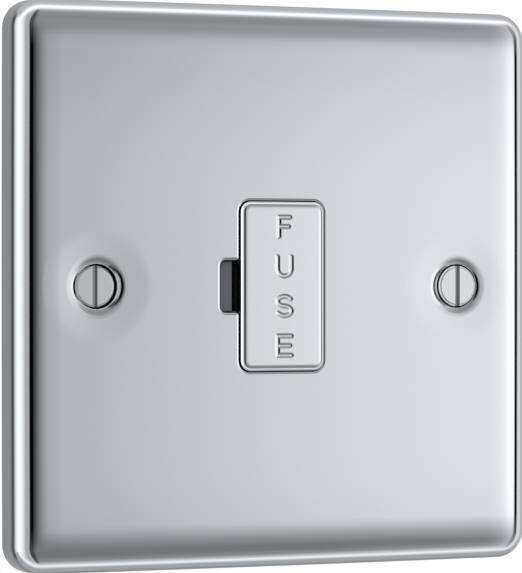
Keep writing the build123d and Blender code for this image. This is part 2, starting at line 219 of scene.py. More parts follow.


# skin, scales, roughness from smooth to dull, light and dark colours, bump and any painted shade colour for
# recesses
looks = {
    "plateChrome": (metal, (60, 350), (0.02, 0.05), (0.645, 0.672, 0.692), (0.632, 0.660, 0.680), 0.05,
                    (0.05, 0.05, 0.055)),
    "capChrome": (metal, (90, 500), (0.03, 0.06), (0.720, 0.742, 0.758), (0.705, 0.728, 0.745), 0.05,
                  (0.05, 0.05, 0.055)),
    "screwChrome": (metal, (400, 1800), (0.04, 0.10), (0.650, 0.668, 0.680), (0.600, 0.618, 0.630), 0.08,
                    (0.06, 0.06, 0.065)),
    "greyMoulding": (moulded, (160, 5000), (0.38, 0.55), (0.140, 0.145, 0.154), (0.120, 0.125, 0.133), 0.12,
                     (0.06, 0.064, 0.07)),
    "greyCover": (moulded, (120, 5000), (0.42, 0.6), (0.158, 0.164, 0.173), (0.134, 0.140, 0.149), 0.16),
    "blackMoulding": (moulded, (160, 5000), (0.35, 0.5), (0.017, 0.017, 0.019),
                      (0.010, 0.010, 0.012), 0.12),
    "fuseCeramic": (moulded, (300, 3000), (0.45, 0.65), (0.80, 0.77, 0.70), (0.74, 0.71, 0.64), 0.1),
    "fuseNickel": (metal, (300, 1500), (0.14, 0.26), (0.74, 0.71, 0.65), (0.66, 0.63, 0.58), 0.1),
    "tinnedWire": (metal, (500, 900), (0.25, 0.4), (0.70, 0.70, 0.69), (0.60, 0.60, 0.59), 0.1),
    "springBronze": (metal, (220, 2200), (0.2, 0.36), (0.72, 0.46, 0.25), (0.60, 0.37, 0.20), 0.1),
    "turnedBrass": (metal, (250, 2600), (0.18, 0.32), (0.76, 0.56, 0.24), (0.66, 0.47, 0.19), 0.12),
    "stripBrass": (metal, (200, 2000), (0.22, 0.38), (0.74, 0.55, 0.25), (0.62, 0.45, 0.19), 0.1),
    "zincSteel": (metal, (350, 2000), (0.2, 0.38), (0.62, 0.63, 0.64), (0.52, 0.53, 0.55), 0.12),
}
finishes = {name: finish(name, *look) for name, look in looks.items()}
print("finishes made")


# a skin built ring by ring, with the true normal at every corner of every face

class RingSkin:
    def __init__(self):
        self.points = []
        self.faces = []
        self.normals = []

    def ring(self, points):
        start = len(self.points)
        self.points.extend(tuple(p) for p in points)
        return list(range(start, start + len(points)))

    def face(self, corners, normals):
        a, b, c = (np.array(self.points[i]) for i in corners[:3])
        facing = np.cross(b - a, c - a)
        if np.dot(facing, np.sum(normals, axis=0)) >= 0:  # toFrame mirrors it back
            corners, normals = corners[::-1], normals[::-1]
        self.faces.append(tuple(corners))
        self.normals.extend(tuple(n) for n in normals)

    # a closed strip between two rings
    def strip(self, ringA, normalsA, ringB, normalsB):
        count = len(ringA)
        for i in range(count):
            j = (i + 1) % count
            self.face([ringA[i], ringA[j], ringB[j], ringB[i]],
                      [normalsA[i], normalsA[j], normalsB[j], normalsB[i]])

    # strips through a list of rows, each a ring of points with its normals; returns the end rings
    def run(self, rows):
        head = last = self.ring(rows[0][0])
        lastNormals = rows[0][1]
        for points, normals in rows[1:]:
            now = self.ring(points)
            self.strip(last, lastNormals, now, normals)
            last, lastNormals = now, normals
        return head, last

    # one more turned strip from a ring, straight to a radius and level; returns its end ring
    def onward(self, last, spot, radius, level, lean):
        points, normals = turnedRows([(radius, level, lean)], *spot, len(last))[0]
        now = self.ring(points)
        self.strip(last, normals, now, normals)
        return now

    # a field between an outer ring and holes, seen on x and z, with free points in it
    def field(self, outer, holes, facing, free=()):
        loops = [outer, *holes]
        keys = [i for loop in loops for i in loop] + list(free)
        flat = np.array([[self.points[i][0], self.points[i][2]] for i in keys])
        normals = facing(flat)
        edges, shapes, start = [], [], 0
        for loop in loops:
            count = len(loop)
            edges += [(start + i, start + (i + 1) % count) for i in range(count)]
            shapes.append(flat[start:start + count])
            start += count
        triangles = delaunay_2d_cdt([Vector(p) for p in flat], edges, [], 0, touching)[2]
        for triangle in triangles:
            middle = np.mean(flat[list(triangle)], axis=0)
            if inside(middle, shapes[0]) and not any(inside(middle, shape) for shape in shapes[1:]):
                self.face([keys[i] for i in triangle], [normals[i] for i in triangle])

    def build(self, name, material, paintedShade):
        mesh = bpy.data.meshes.new(name)
        mesh.from_pydata(toFrame(self.points).tolist(), [], self.faces)
        mesh.polygons.foreach_set("use_smooth", [True] * len(mesh.polygons))
        mesh.update()
        mesh.normals_split_custom_set([(n[0], -n[1], n[2]) for n in self.normals])
        # painted shade: how dark the finish paints each point
        sink(mesh, paintedShade(np.array(self.points)))
        return place(name, mesh, material)


def inside(point, shape):
    x, z = point
    x0, z0 = shape[:, 0], shape[:, 1]
    x1, z1 = np.roll(x0, -1), np.roll(z0, -1)
    crosses = (z0 > z) != (z1 > z)
    rise = np.where(z1 == z0, tiny, z1 - z0)
    return bool(np.sum(crosses & (x < (x1 - x0) * (z - z0) / rise + x0)) % 2)


# one normal for all the points of a field
def towards(normal):
    return lambda points: np.tile(np.array(normal, float), (len(points), 1))


def withLevel(points, level):
    level = np.broadcast_to(level, len(points))
    return np.stack([points[:, 0], level, points[:, 1]], axis=1)


# points of a circle, and the directions out of it
def circle(radius, x, z, steps):
    angles = np.arange(steps) * 2 * math.pi / steps
    out = np.stack([np.cos(angles), np.sin(angles)], axis=1)
    return np.array([x, z]) + radius * out, out


# a loop of arcs, each with its centre, radius, angles, and 1 or -1 where it turns out or in
# the loop is grown by a distance, and comes with its directions outwards
def arcLoop(arcs, steps, grow):
    points, outwards = [], []
    for x, z, radius, low, high, sign in arcs:
        for i in range(steps + 1):
            angle = math.radians(low + (high - low) * i / steps)
            out = sign * np.array([math.cos(angle), math.sin(angle)])
            points.append(np.array([x, z]) + (radius * sign + grow) * out)
            outwards.append(out)
    return np.array(points), np.array(outwards)


# the arcs of an upright rectangle with round corners
def cornerArcs(wide, tall, corner):
    across, up = wide - corner, tall - corner
    return [(across, up, corner, 0, 90, 1), (-across, up, corner, 90, 180, 1),
            (-across, -up, corner, 180, 270, 1), (across, -up, corner, 270, 360, 1)]


# rows from a profile that ends on a loop of arcs, then straight to a foot
# side is 1 where the loop goes round a hole, and -1 where it goes round a piece
def loopRows(arcs, steps, profile, face, foot, side):
    rows = []
    for along, drop, (inward, up) in profile:
        points, out = arcLoop(arcs, steps, side * (along - profile[-1][0]))
        rows.append((withLevel(points, face + drop), withLevel(side * inward * out, up)))
    rows.append((withLevel(points, foot), withLevel(-side * out, 0.0)))
    return rows


# turned rows from a profile of radius, level and normal, which is given as outward and up
def turnedRows(profile, x, z, steps):
    rows = []
    for radius, level, (outward, up) in profile:
        points, out = circle(radius, x, z, steps)
        rows.append((withLevel(points, level), withLevel(outward * out, up)))
    return rows


# an arc at the end of a profile, going inwards and down as it turns from one lean to the next
# leans below zero take it outwards, and a radius below zero takes it outwards and up
def addArc(profile, radius, lean, lastLean, steps):
    across, level = profile[-1][:2]
    for i in range(1, steps + 1):
        t = lean + (lastLean - lean) * i / steps
        inward = radius * (math.sin(t) - math.sin(lean))
        down = radius * (math.cos(lean) - math.cos(t))
        profile.append((across - inward, level - down, (-math.sin(t), math.cos(t))))


# front plate

plateBox = boxOf("front_plate")
screwBox = boxOf("fixing_screws")
capBox = boxOf("carrier_cap")
plate = {
    "wall": 1.0,  # thickness of the sheet
    "corner": 4.4,
    "roll": 3.0,  # radius of the edge before it is eased
    "ease": (12.0, 3.05),  # radius of the ease from the crown to the roll, and its turn in degrees
    "crown": 0.5,  # drop of the border at the middle of each side
    "reach": 7.2,  # width of the border that drops
    "flatCorner": 3.0,  # corner radius of the flat middle
    "flatInset": 0.05,  # the border's mesh starts this far inside it
    "flatBow": 0.01,
    "bow": 0.1,  # swell of each side
    "rim": 0.2,  # rounding at the wall
    "rimTurns": (0.0, 0.33, 0.67, 1.0),
    "mouthDraw": (0.26, 7.0),  # width of the drawn-in edge of the aperture, and its slope in degrees
    "drawBend": 0.25,  # share of that width which bends to the slope
    "mouthEdge": 0.12,  # rounding from there to the wall
    "mouthCorner": 1.8,
    "mouthGap": 0.2,  # around the cap
    "notchWidth": 3.1,
    "notchHeight": 8.1,
    "notchCorner": 1.0,
    "notchTurn": 0.4,  # rounding where the notch meets the aperture
    "sinkReach": 9.0,  # the face starts to sink this far from a screw
    "sinkFade": 1.8,
    "sinkSlope": 0.0236,
    "sinkRings": (0.35, 0.2, 0.4),  # first ring's gap to the dish, last ring's room past the reach, spacing
    "sinkInset": 0.3,  # the rings keep this far inside the flat
    "dimple": (  # radii of the dish, and its slope there in degrees
        (5.0, 1.35), (4.35, 5.0), (3.88, 8.0), (3.82, 9.9), (3.48, 11.4)),
    "brinkRound": 0.1,
    "brinkLean": 86.0,
    "seat": 3.35,
    "seatDrop": 1.35,
    "seatEdge": (0.02, 0.04, 0.03),  # breaks the edge: outwards, up, and inwards and down
    "hole": 2.1,
    "holeEdge": 0.05,
    "shadeFrom": 0.8,  # depth at which the painted shade starts
    "shadeFade": 0.3,
    "shadeFoot": 0.1,  # it ends this far above the foot of a hole
    "pillar": 5.0,
    "pillarTap": 3.0,
    "pillarLength": 4.2,
    "pillarPlaces": (8.5, 19.0),
}
plateSteps = {  # of the plate's mesh
    "roll": 18, "ease": 6, "shoulder": 20, "side": 56, "corner": 24, "hollow": 8, "draw": 4,
    "mouthEdge": 8, "mouthCorner": 10, "sink": 72, "dimple": 6, "brink": 8, "dish": 128, "pillar": 40,
}
plateHalf = plateBox["x"][1]
plateFront = plateBox["level"][1]
plateInside = plateFront - plate["wall"]
crownRadius = (plate["reach"] ** 2 + plate["crown"] ** 2) / (2 * plate["crown"])
plateFlat = plateHalf - plate["reach"]
screwRim = 3.25  # radius of the fixing screws' heads
screwPlaces = (screwBox["x"][0] + screwRim, screwBox["x"][1] - screwRim)


# points and outward normals round a square with swelling sides and round corners
def squareOutline(half, bow, corner):
    tip = half - bow
    sideRadius = (tip**2 + bow**2) / (2 * bow)
    back = half - sideRadius
    cornerAt = (back + math.sqrt(2 * (sideRadius - corner) ** 2 - back**2)) / 2
    lean = math.atan2(cornerAt, cornerAt - back)
    side = (np.array([back, 0]), sideRadius, -lean, 2 * lean, plateSteps["side"])
    turned = (np.array([cornerAt, cornerAt]), corner, lean, math.pi / 2 - 2 * lean, plateSteps["corner"])
    points, normals = [], []
    for quarter in range(4):
        turn = quarter * math.pi / 2
        spin = np.array([[math.cos(turn), -math.sin(turn)], [math.sin(turn), math.cos(turn)]])
        for centre, radius, start, sweep, steps in (side, turned):
            for i in range(steps):
                angle = start + sweep * i / steps
                out = np.array([math.cos(angle), math.sin(angle)])
                points.append(spin @ (centre + radius * out))
                normals.append(spin @ out)
    return np.array(points), np.array(normals)


# level and normals of the crowned face, or of a surface that lies under it by some depth
def crowned(points, depth):
    past = np.sign(points) * np.maximum(np.abs(points) - plateFlat, 0)
    rise = np.sqrt((crownRadius - depth) ** 2 - np.sum(past**2, axis=1))
    normals = np.stack([past[:, 0], rise, past[:, 1]], axis=1) / (crownRadius - depth)
    return plateFront - crownRadius + rise, normals


# the broad hollow round each screw: its depth, and its slope towards the screw
def dimpled(points):
    depth, lean = np.zeros(len(points)), np.zeros((len(points), 2))
    fade, slope = plate["sinkFade"], plate["sinkSlope"]
    for x in screwPlaces:
        away = points - np.array([x, 0.0])
        far = np.maximum(np.linalg.norm(away, axis=1), tiny)
        past = np.maximum(plate["sinkReach"] - far, 0)
        depth += slope * np.where(past < fade, past**2 / (2 * fade), past - fade / 2)
        lean -= (slope * np.minimum(past / fade, 1) / far)[:, None] * away
    return depth, lean


def frontFace(points):
    level, normals = crowned(points, 0.0)
    depth, lean = dimpled(points)
    normals = normals + withLevel(lean, 0.0)
    return level - depth, normals / np.linalg.norm(normals, axis=1)[:, None]


# the border from the flat face over the roll, down the wall and up inside to the hollow
def borderRows():
    roll, wall, rim = plate["roll"], plate["wall"], plate["rim"]
    outline, out = squareOutline(plateHalf, plate["bow"], plate["corner"])
    sideways = withLevel(out, 0.0)
    centre = outline - roll * out
    centreLevel, first = crowned(centre, roll)
    middle = withLevel(centre, centreLevel)
    apart = np.arccos(np.sum(first * sideways, axis=1))[:, None]
    start = squareOutline(plateFlat - plate["flatInset"], plate["flatBow"], plate["flatCorner"])[0]

    def leaned(turn):  # normals that turn from the crown's to the side's
        return (np.sin(apart - turn) * first + np.sin(turn) * sideways) / np.sin(apart)

    rows = []
    touch = centre + roll * first[:, [0, 2]]
    for i in range(plateSteps["shoulder"]):
        points = start + (touch - start) * i / plateSteps["shoulder"]
        level, normals = frontFace(points)
        rows.append((withLevel(points, level), normals))
    easeRadius, easeTurn = plate["ease"][0], math.radians(plate["ease"][1])
    easeCentre = middle + (roll - easeRadius) * first
    for i in range(plateSteps["ease"] + 1):
        eased = leaned(easeTurn * i / plateSteps["ease"])
        rows.append((easeCentre + easeRadius * eased, eased))
    left = np.sum((withLevel(outline, 0.0) - easeCentre - easeRadius * eased) * sideways, axis=1)
    rollRadius = (left / (1 - np.sum(eased * sideways, axis=1)))[:, None]  # ends the roll on the outline
    rollCentre = easeCentre + (easeRadius - rollRadius) * eased
    for i in range(1, plateSteps["roll"] + 1):
        normals = leaned(easeTurn + (apart - easeTurn) * i / plateSteps["roll"])
        rows.append((rollCentre + rollRadius * normals, normals))
    back = np.array([0.0, -1.0, 0.0])
    for inset, low, high in ((rim, sideways, back), (wall - rim, back, -sideways)):
        for share in plate["rimTurns"]:
            lean = share * math.pi / 2
            normals = math.cos(lean) * low + math.sin(lean) * high
            rows.append((withLevel(outline - inset * out, rim) + rim * normals, normals))
    inner, steps = roll - wall, plateSteps["hollow"]
    for i in range(steps + 1):
        normals = leaned(apart * (1 - i / steps))
        rows.append((middle + inner * normals, -normals))
    touch = centre + inner * first[:, [0, 2]]
    for i in range(1, steps + 1):
        points = touch + (start - touch) * i / steps
        level, normals = crowned(points, wall)
        rows.append((withLevel(points, level), -normals))
    return rows


# the aperture's outline, with the notch on its left
def mouthArcs():
    wide = capBox["x"][1] + plate["mouthGap"]
    corner, turn, shelf = plate["notchCorner"], plate["notchTurn"], plate["notchHeight"] / 2
    across, up = corner - wide - plate["notchWidth"], shelf - corner
    notch = [
        (-wide - turn, shelf + turn, turn, 0, -90, -1),
        (across, up, corner, 90, 180, 1),
        (across, -up, corner, 180, 270, 1),
        (-wide - turn, -shelf - turn, turn, 90, 0, -1),
    ]
    arcs = cornerArcs(wide, capBox["z"][1] + plate["mouthGap"], plate["mouthCorner"])
    return arcs[:2] + notch + arcs[2:]


# the aperture's edge is drawn in a little, then rounded over to its wall
def mouthRows():
    width, lean = plate["mouthDraw"][0], math.radians(plate["mouthDraw"][1])
    bent = plate["drawBend"] * width
    profile = [levelStart]
    addArc(profile, bent / math.sin(lean), 0.0, lean, plateSteps["draw"])
    along, drop, normal = profile[-1]
    profile.append((along - (width - bent), drop - (width - bent) * math.tan(lean), normal))
    addArc(profile, plate["mouthEdge"], lean, math.pi / 2, plateSteps["mouthEdge"])
    return loopRows(mouthArcs(), plateSteps["mouthCorner"], profile, plateFront, plateInside, 1)


# a dish from the face inwards: soft dimple, brink, steep wall, seat for the head, hole
def dishProfile():
    (outer, lean), *inner = plate["dimple"]
    lean = math.radians(lean)
    depth = dimpled(np.array([[screwPlaces[0] + outer, 0.0]]))[0][0]
    profile = [(outer, plateFront - depth, (-math.sin(lean), math.cos(lean)))]
    for radius, degrees in inner:
        steeper = math.radians(degrees)
        curve = (profile[-1][0] - radius) / (math.sin(steeper) - math.sin(lean))
        addArc(profile, curve, lean, steeper, plateSteps["dimple"])
        lean = steeper
    addArc(profile, plate["brinkRound"], lean, math.radians(plate["brinkLean"]), plateSteps["brink"])
    seat, seatLevel, hole = plate["seat"], plateFront - plate["seatDrop"], plate["hole"]
    holeTop = seatLevel - seat + hole
    outwards, up, inwards = plate["seatEdge"]
    edge = plate["holeEdge"]
    profile.append((seat + outwards, seatLevel + up, profile[-1][2]))
    profile.append((seat - inwards, seatLevel - inwards, (-slant, slant)))
    profile.append((hole + edge, holeTop + edge, (-slant, slant)))
    profile.append((hole, holeTop - edge, (-1, 0)))
    profile.append((hole, holeTop - plate["wall"] * slant, (-1, 0)))
    return profile


dish = dishProfile()
dishFoot = dish[-1][1]


# rings of points on the flat that sinks round a screw
def sunkPoints(x, limit):
    gap, room, spacing = plate["sinkRings"]
    points = []
    for radius in np.arange(plate["dimple"][0][0] + gap, plate["sinkReach"] + room, spacing):
        points += list(circle(radius, x, 0.0, plateSteps["sink"])[0])
    return np.array([p for p in points if inside(p, limit)])


# painted shade on the dishes from their brinks to the foot of their holes, and on the wall of the aperture
def plateShade(points):
    x, level, z = points.T
    across = np.abs(x) - screwPlaces[1]
    dished = (across**2 + z**2 < plate["dimple"][-1][0] ** 2) & (level > dishFoot + plate["shadeFoot"])
    mouthHalf = capBox["x"][1] + 2 * plate["notchWidth"]
    mouth = (np.abs(x) < mouthHalf) & (np.abs(z) < capBox["z"][1] + plate["mouthGap"])
    return np.where(dished | mouth, (plateFront - plate["shadeFrom"] - level) / plate["shadeFade"], 0)


def buildPlate():
    skin = RingSkin()
    faceRing, hollowRing = skin.run(borderRows())
    mouthFront, mouthBack = skin.run(mouthRows())
    frontHoles, backHoles = [mouthFront], [mouthBack]
    foot = plate["hole"] + plate["wall"] * slant
    for x in screwPlaces:
        top, last = skin.run(turnedRows(dish, x, 0.0, plateSteps["dish"]))
        frontHoles.append(top)
        last = skin.onward(last, (x, 0.0), foot, dishFoot, (0, -1))
        wide = foot + plateInside - dishFoot
        backHoles.append(skin.onward(last, (x, 0.0), wide, plateInside, (slant, -slant)))
    across, upward = plate["pillarPlaces"]
    radius, tap = plate["pillar"] / 2, plate["pillarTap"] / 2
    end = plateInside - plate["pillarLength"]
    pillar = [(radius, plateInside, (1, 0)), (radius, end, (1, 0))]
    for x in (-across, across):
        for z in (-upward, upward):
            root, last = skin.run(turnedRows(pillar, x, z, plateSteps["pillar"]))
            backHoles.append(root)
            last = skin.onward(last, (x, z), tap, end, (0, -1))
            last = skin.onward(last, (x, z), tap, plateInside, (-1, 0))
            skin.face(last, [(0, -1, 0)] * len(last))
    free = []
    limit = squareOutline(plateFlat - plate["sinkInset"], plate["flatBow"], plate["flatCorner"])[0]
    for x in screwPlaces:
        points = sunkPoints(x, limit)
        free += skin.ring(withLevel(points, frontFace(points)[0]))
    skin.field(faceRing, frontHoles, lambda points: frontFace(points)[1], free)
    skin.field(hollowRing, backHoles, towards((0, -1, 0)))
    piece = skin.build("frontPlate", finishes["plateChrome"], plateShade)
    carry(piece, "unit", "front_plate")
    print("front plate:", len(piece.data.polygons), "faces")


buildPlate()


# fuse carrier's cap, with the word cut in it

cap = {
    "crest": (4.0, 9.5),  # radius of the crown towards the edges, and its slope at the end in degrees
    "shoulder": 0.45,  # rounding from there to the bevel
    "bevel": 0.18,
    "lip": 0.12,  # rounding from the bevel to the side
    "corner": 1.6,
    "thick": 2.0,
    "shadeFrom": 0.4,  # depth at which the painted shade starts
    "shadeFade": 0.3,
    "pegs": (1.0, 25.4 / 3),  # radius of the pegs, and how far they stand above and below the middle
}
capSteps = {"crest": 8, "shoulder": 6, "lip": 5, "corner": 12, "peg": 32}  # of the cap's mesh
word = {
    "lean": 7.3,  # degrees of the sides of the cut strokes
    "floor": 0.08,  # half width of a stroke at its floor
    "brink": 0.43,  # and at the face
    "wide": 2.3,  # between the middles of the strokes
    "tall": 2.95,
    "narrow": 0.8,  # share of the width in the F, and in the middle bar of the E
    "bar": (0.6, 0.05),  # reach of the F's middle bar, as a share, and its rise
    "hooks": (28, -152),  # degrees at which the S starts and ends
    "bendPoints": 15,
    "pitch": 6.05,
    "shift": 0.2,
    "margin": 0.12,
    "cell": 0.045,  # mesh size
}
capFace = capBox["level"][1]
capBack = capFace - cap["thick"]


# painted shade on the cap below its face, where it sits in the aperture
def capShade(points):
    return (capFace - cap["shadeFrom"] - points[:, 1]) / cap["shadeFade"]


def buildCap():
    skin = RingSkin()
    arcs = cornerArcs(capBox["x"][1], capBox["z"][1], cap["corner"])
    crest, lean = cap["crest"][0], math.radians(cap["crest"][1])
    bevel = cap["bevel"] * slant
    profile = [levelStart]
    addArc(profile, crest, 0.0, lean, capSteps["crest"])
    addArc(profile, cap["shoulder"], lean, math.pi / 4, capSteps["shoulder"])
    along, drop, normal = profile[-1]
    profile.append((along - bevel, drop - bevel, normal))
    addArc(profile, cap["lip"], math.pi / 4, math.pi / 2, capSteps["lip"])
    front, rear = skin.run(loopRows(arcs, capSteps["corner"], profile, capFace, capBack, -1))
    patches = []
    for row, strokes in enumerate(letterStrokes()):
        patches.append(cutLetter(skin, strokes, (1.5 - row) * word["pitch"]))  # four rows about the middle
    skin.field(front, patches, towards((0, 1, 0)))
    radius, rise = cap["pegs"]
    peg = [(radius, capBack, (1, 0)), (radius, capBox["level"][0], (1, 0))]
    roots = []
    for z in (-rise, rise):
        root, tip = skin.run(turnedRows(peg, 0.0, z, capSteps["peg"]))
        roots.append(root)
        skin.face(tip, [(0, -1, 0)] * len(tip))
    skin.field(rear, roots, towards((0, -1, 0)))
    piece = skin.build("carrierCap", finishes["capChrome"], capShade)
    carry(piece, "carrier", "carrier_cap")
    print("carrier cap:", len(piece.data.polygons), "faces")


def bend(z, wide, tall, start, stop):
    angles = np.radians(np.linspace(start, stop, word["bendPoints"]))
    return [(wide * math.cos(a), z + tall * math.sin(a)) for a in angles]


# strokes of the letters F, U, S and E, as lists of points about each one's middle
def letterStrokes():
    w, h = word["wide"] / 2, word["tall"] / 2
    narrow = w * word["narrow"]
    bar, rise = w * word["bar"][0], word["bar"][1]
    start, stop = word["hooks"]
    return [
        [[(-narrow, -h), (-narrow, h), (narrow, h)], [(-narrow, rise), (bar, rise)]],
        [[(-w, h), *bend(w - h, w, w, 180, 360), (w, h)]],
        [bend(h / 2, w, h / 2, start, 270) + bend(-h / 2, w, h / 2, 90, stop)],
        [[(w, h), (-w, h), (-w, -h), (w, -h)], [(-w, 0.0), (narrow, 0.0)]],
    ]


# how far each point of a grid lies from the nearest stroke
def farFrom(strokes, x, z):
    far = np.full(x.shape, np.inf)
    for stroke in strokes:
        for (x0, z0), (x1, z1) in zip(stroke, stroke[1:]):
            run, rise = x1 - x0, z1 - z0
            share = np.clip(((x - x0) * run + (z - z0) * rise) / max(run**2 + rise**2, tiny), 0, 1)
            far = np.minimum(far, np.hypot(x - x0 - share * run, z - z0 - share * rise))
    return far


# a patch of the face with one letter cut in it; returns the loop round the patch
def cutLetter(skin, strokes, up):
    sides = []
    for reach in (word["wide"], word["tall"]):
        half = reach / 2 + word["brink"] + word["margin"]
        sides.append(np.linspace(-half, half, round(2 * half / word["cell"])))
    x, z = np.meshgrid(*sides, indexing="ij")
    share = (word["brink"] - farFrom(strokes, x, z)) / (word["brink"] - word["floor"])
    deep = (word["brink"] - word["floor"]) * math.tan(math.radians(word["lean"]))
    height = -deep * np.clip(share, 0, 1)
    slopeX, slopeZ = np.gradient(height, *sides)
    normals = np.stack([-slopeX, np.ones_like(height), -slopeZ], axis=-1)
    normals /= np.linalg.norm(normals, axis=-1)[..., None]
    points = np.stack([x + word["shift"], capFace + height, z + up], axis=-1)
    spots = np.array(skin.ring(points.reshape(-1, 3))).reshape(x.shape)
    for i in range(x.shape[0] - 1):
        for j in range(x.shape[1] - 1):
            corners = [(i, j), (i + 1, j), (i + 1, j + 1), (i, j + 1)]
            skin.face([spots[c] for c in corners], [normals[c] for c in corners])
    return [*spots[:-1, 0], *spots[-1, :-1], *spots[:0:-1, -1], *spots[0, :0:-1]]


buildCap()


# what all the screws share: threads and slotted heads

thread = {"turnSteps": 28, "toothSides": 4, "rodSides": 32}
threadInputs = ("Outer Radius", "Ridge", "Pitch", "Length")  # in metres
slotBreak = {"segments": 3, "angle": 40.0}


# threaded rod at each point: a ridge along a helix on a core
def threadTree():
    tree = bpy.data.node_groups.new("screwThread", "GeometryNodeTree")
    addSockets(tree, "INPUT", "Geometry", "Geometry")
    addSockets(tree, "INPUT", "Float", *threadInputs)
    addSockets(tree, "INPUT", "Material", "Finish")
    addSockets(tree, "OUTPUT", "Geometry", "Geometry")
    ins = tree.nodes.new("NodeGroupInput").outputs
    ridge, length = ins["Ridge"], ins["Length"]
    core = maths(tree, "SUBTRACT", ins["Outer Radius"], ridge)
    turns = maths(tree, "DIVIDE", length, ins["Pitch"])
    values = {"Resolution": thread["turnSteps"], "Rotations": turns, "Height": length}
    values.update({"Start Radius": core, "End Radius": core})
    spiral = made(tree, "GeometryNodeCurveSpiral", values, "Curve")
    values = {"Resolution": thread["toothSides"], "Radius": ridge}
    tooth = made(tree, "GeometryNodeCurvePrimitiveCircle", values, "Curve")
    values = {"Curve": spiral, "Profile Curve": tooth, "Fill Caps": True}
    wound = made(tree, "GeometryNodeCurveToMesh", values, "Mesh")
    values = {"Vertices": thread["rodSides"], "Radius": core, "Depth": length}
    rod = made(tree, "GeometryNodeMeshCylinder", values, "Mesh")
    shift = made(tree, "ShaderNodeCombineXYZ", {"Z": maths(tree, "DIVIDE", length, 2.0)}, "Vector")
    lift = made(tree, "GeometryNodeTransform", {"Geometry": rod, "Translation": shift}, "Geometry")
    both = made(tree, "GeometryNodeJoinGeometry", {"Geometry": wound})
    feed(tree, both, {"Geometry": lift})
    values = {"Points": ins["Geometry"], "Instance": both.outputs["Geometry"]}
    values["Rotation"] = (math.pi / 2, 0.0, 0.0)  # from the tree's Z out to the room
    spots = made(tree, "GeometryNodeInstanceOnPoints", values, "Instances")
    real = made(tree, "GeometryNodeRealizeInstances", {"Geometry": spots}, "Geometry")
    values = {"Geometry": real, "Material": ins["Finish"]}
    paint = made(tree, "GeometryNodeSetMaterial", values, "Geometry")
    made(tree, "NodeGroupOutput", {"Geometry": paint})
    return tree


threads = threadTree()


def socketOf(tree, label):
    return next(s.identifier for s in tree.interface.items_tree if s.name == label and s.in_out == "INPUT")


# threads that run out to the room from each point, as one plain mesh
def threadMesh(name, points, outer, ridge, pitch, length, material):
    base = bpy.data.meshes.new(name + "Points")
    base.from_pydata(toFrame(points).tolist(), [], [])
    holder = added(name + "Holder", base)
    modifier = holder.modifiers.new("thread", "NODES")
    modifier.node_group = threads
    for label, value in zip(threadInputs, (outer, ridge, pitch, length)):
        modifier[socketOf(threads, label)] = value * mm
    modifier[socketOf(threads, "Finish")] = material
    mesh = solved(holder, name)
    holder.modifiers.remove(modifier)
    bpy.data.objects.remove(holder)
    return mesh


# a turned head from rows of radius and level, in millimetres
def lathe(profile, steps):
    shape = bmesh.new()
    rings = []
    for row in profile:
        radius, level = row[:2]
        ring = []
        for i in range(steps):
            angle = 2 * math.pi * i / steps
            ring.append(shape.verts.new((radius * math.cos(angle), -level, radius * math.sin(angle))))
        rings.append(ring)
    for low, high in zip(rings, rings[1:]):
        for i in range(steps):
            j = (i + 1) % steps
            shape.faces.new((low[i], low[j], high[j], high[i]))
    shape.faces.new(rings[0])
    shape.faces.new(rings[-1])
    bmesh.ops.recalc_face_normals(shape, faces=shape.faces)
    return shape


# the slot is cut from a head, and its sharp edges are broken
def slotted(shape, slotSize, slotPlace, name, breakWidth):
    holder = added(name, meshOf(shape, name))
    cutter = bmesh.new()
    boxed = Matrix.Translation(slotPlace) @ Matrix.Diagonal((*slotSize, 1.0))
    bmesh.ops.create_cube(cutter, size=1.0, matrix=boxed)
    tool = added(name + "Tool", meshOf(cutter, name + "Cutter"))
    cut = holder.modifiers.new("slot", "BOOLEAN")
    cut.operation = "DIFFERENCE"
    cut.solver = "EXACT"
    cut.object = tool
    breakEdges(holder, breakWidth, slotBreak["segments"], slotBreak["angle"])
    mesh = solved(holder, name)
    bpy.data.objects.remove(holder)
    bpy.data.objects.remove(tool)
    return mesh


# from millimetres about the origin to a place in the frame
def seated(mesh, x, z):
    mesh.transform(Matrix.Diagonal((mm, mm, mm, 1.0)) @ Matrix.Translation((x, 0.0, z)))
    return mesh


def joined(name, meshes, material, angle):
    whole = bmesh.new()
    for mesh in meshes:
        whole.from_mesh(mesh)
    mesh = meshOf(whole, name)
    mesh.polygons.foreach_set("material_index", [0] * len(mesh.polygons))
    smoothed(mesh, angle)
    return place(name, mesh, material)


# fixing screws

fixing = {
    "face": 2.78,  # radius of the flat
    "faceRings": (1.2, 0.02, 0.0),  # the flat's mesh has rings this far inside that
    "crest": 0.6,  # rounding from the flat to the first lean
    "shoulder": 0.25,  # rounding from there to the second
    "leans": (25.0, 82.0),  # in degrees
    "leanSteps": 7,
    "flat": 0.45,  # flat of the head above the rim's lower edge
    "shank": 1.75,
    "neck": 1.5,
    "neckLength": 3.4,
    "length": 25.0,
    "slot": 0.8,
    "slotDepth": 0.6,
    "slotReach": 0.6,  # the slot's walls lie within this share of its width from the middle
    "slotShade": 0.6,  # how dark the painted shade on the slot's floor is
    "shadeRise": 0.1,  # the painted shade reaches this far above the rim's lower edge
    "edge": 0.05,  # width of the broken edges
    "smooth": 12.0,  # edges that turn by more degrees stay sharp
    "pitch": 0.6,
    "thread": 0.33,
    "steps": 96,
    "backOff": (0.0, 1.1),  # how far each screw stands out, the left one first
    "lowest": 5.2,  # level of the rim of the screw that is driven home
}


# a head from near the middle of its flat to the neck, as radii and heights above the rim's lower edge
def headProfile():
    neck, steps = fixing["neck"], fixing["leanSteps"]
    lean, side = (math.radians(degrees) for degrees in fixing["leans"])
    profile = [(fixing["face"] - inset, fixing["flat"]) for inset in fixing["faceRings"]]
    addArc(profile, fixing["crest"], 0.0, -lean, steps)
    addArc(profile, fixing["shoulder"], -lean, -side, steps)
    profile += [(screwRim, 0.0), (neck, neck - screwRim), (neck, -fixing["neckLength"])]
    return [row[:2] for row in profile]
